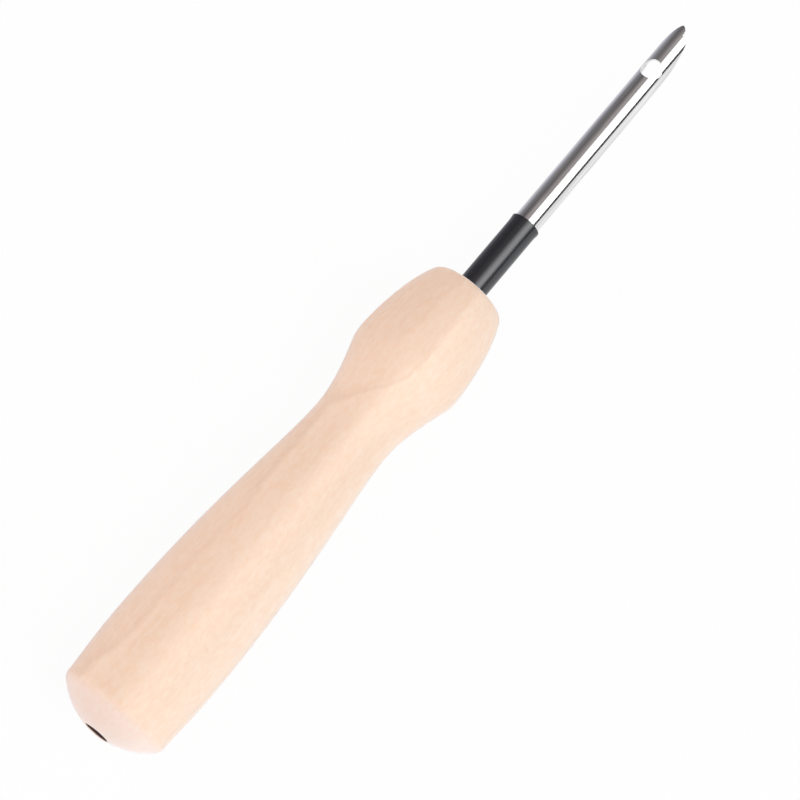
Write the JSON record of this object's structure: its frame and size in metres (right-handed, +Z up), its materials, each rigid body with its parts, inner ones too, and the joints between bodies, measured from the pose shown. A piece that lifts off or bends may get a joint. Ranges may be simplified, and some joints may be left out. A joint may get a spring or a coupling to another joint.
{
  "type": "punch needle",
  "caption": "Punch needle for rug and embroidery yarn: a turned wooden handle with a flatted bulb grip, a black sleeve and a hollow steel needle cut on a slant, with an eye.",
  "frame": {"origin": "below the middle of the tool's length, on the surface that it lies on", "axes": "+X along the tool, from the butt to the needle's tip; +Z up; the needle's tongue and eye face up and a little to +Y"},
  "size_m": [0.1212, 0.0162, 0.0161],
  "materials": {
    "wood": "pale close-grained wood, sanded smooth, bare",
    "sleeve": "black shrink tubing, satin",
    "steel": "polished stainless steel"
  },
  "bodies": {
    "root": {"wooden_handle": "wood", "shrink_sleeve": "sleeve", "needle_tube": "steel"}
  },
  "joints": []
}
